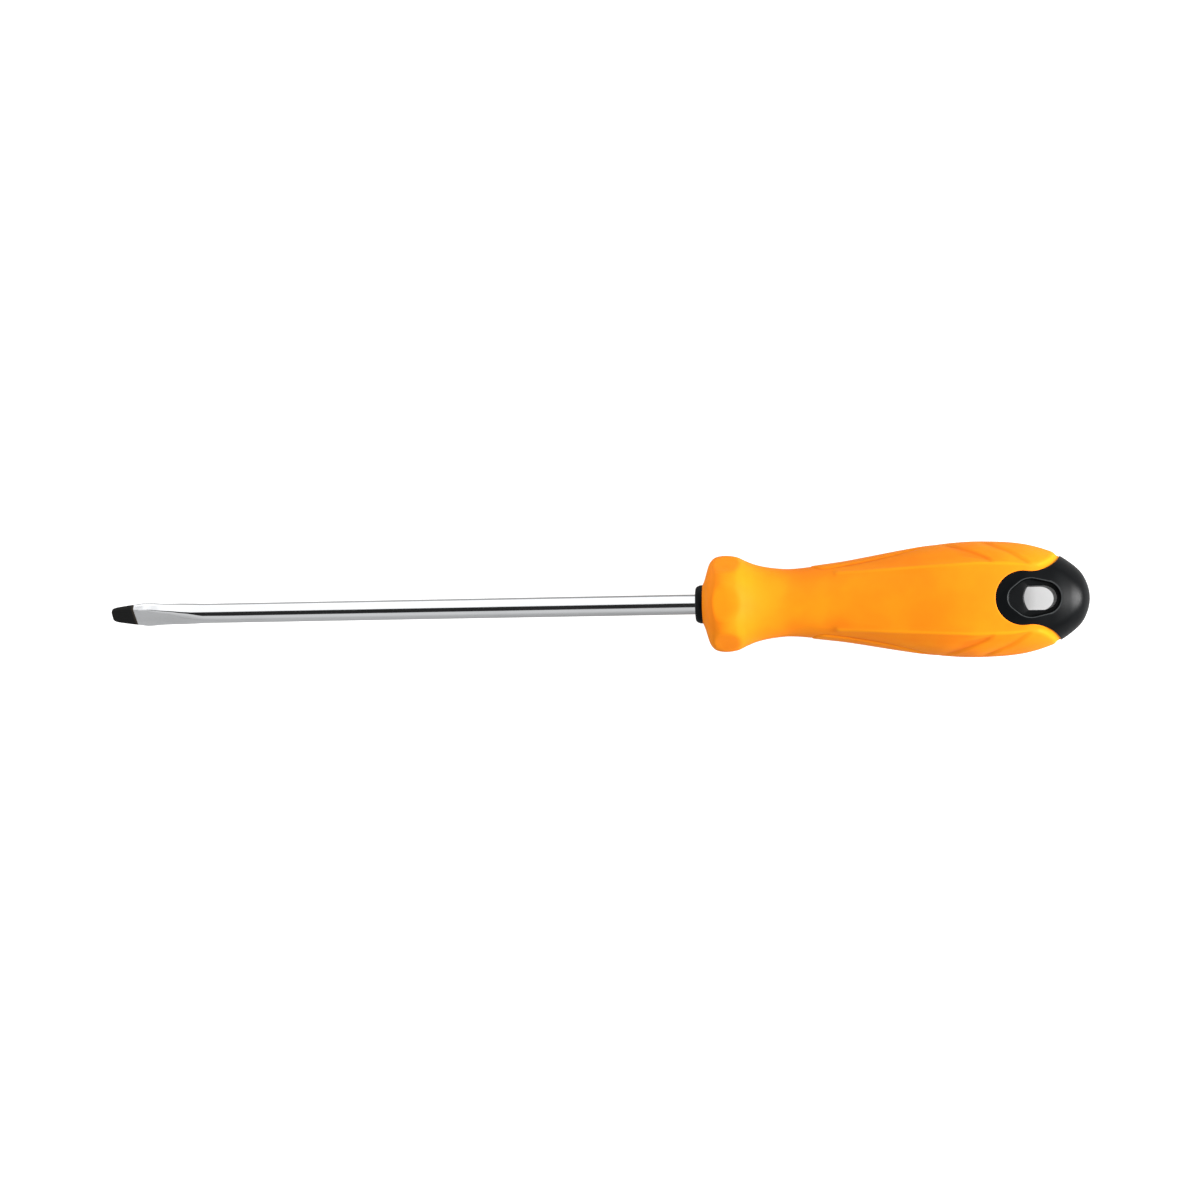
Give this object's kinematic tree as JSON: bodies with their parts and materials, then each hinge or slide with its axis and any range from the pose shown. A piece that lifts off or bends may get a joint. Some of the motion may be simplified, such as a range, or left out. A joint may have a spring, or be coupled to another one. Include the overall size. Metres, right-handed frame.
{
  "type": "slotted screwdriver",
  "caption": "Slotted screwdriver with a round plated shank, a blackened flared blade, a soft contoured grip over a hard core, and a hanging slot through the rear of the handle.",
  "frame": {"origin": "centre of the blade's end face, on the tool's axis", "axes": "+X runs along the axis from the blade to the handle's domed end; +Z is the smooth face of the handle that the hanging slot opens on; +Y is across the handle's wide sides"},
  "size_m": [0.2484, 0.029, 0.0262],
  "materials": {
    "shank_steel": "bright plated, with the blade's tip blackened",
    "core_plastic": "satin moulded polypropylene",
    "sleeve_rubber": "fine matt moulded soft grip"
  },
  "bodies": {
    "root": {"shank": "shank_steel", "handle_core": "core_plastic", "grip_sleeve": "sleeve_rubber"}
  },
  "joints": []
}
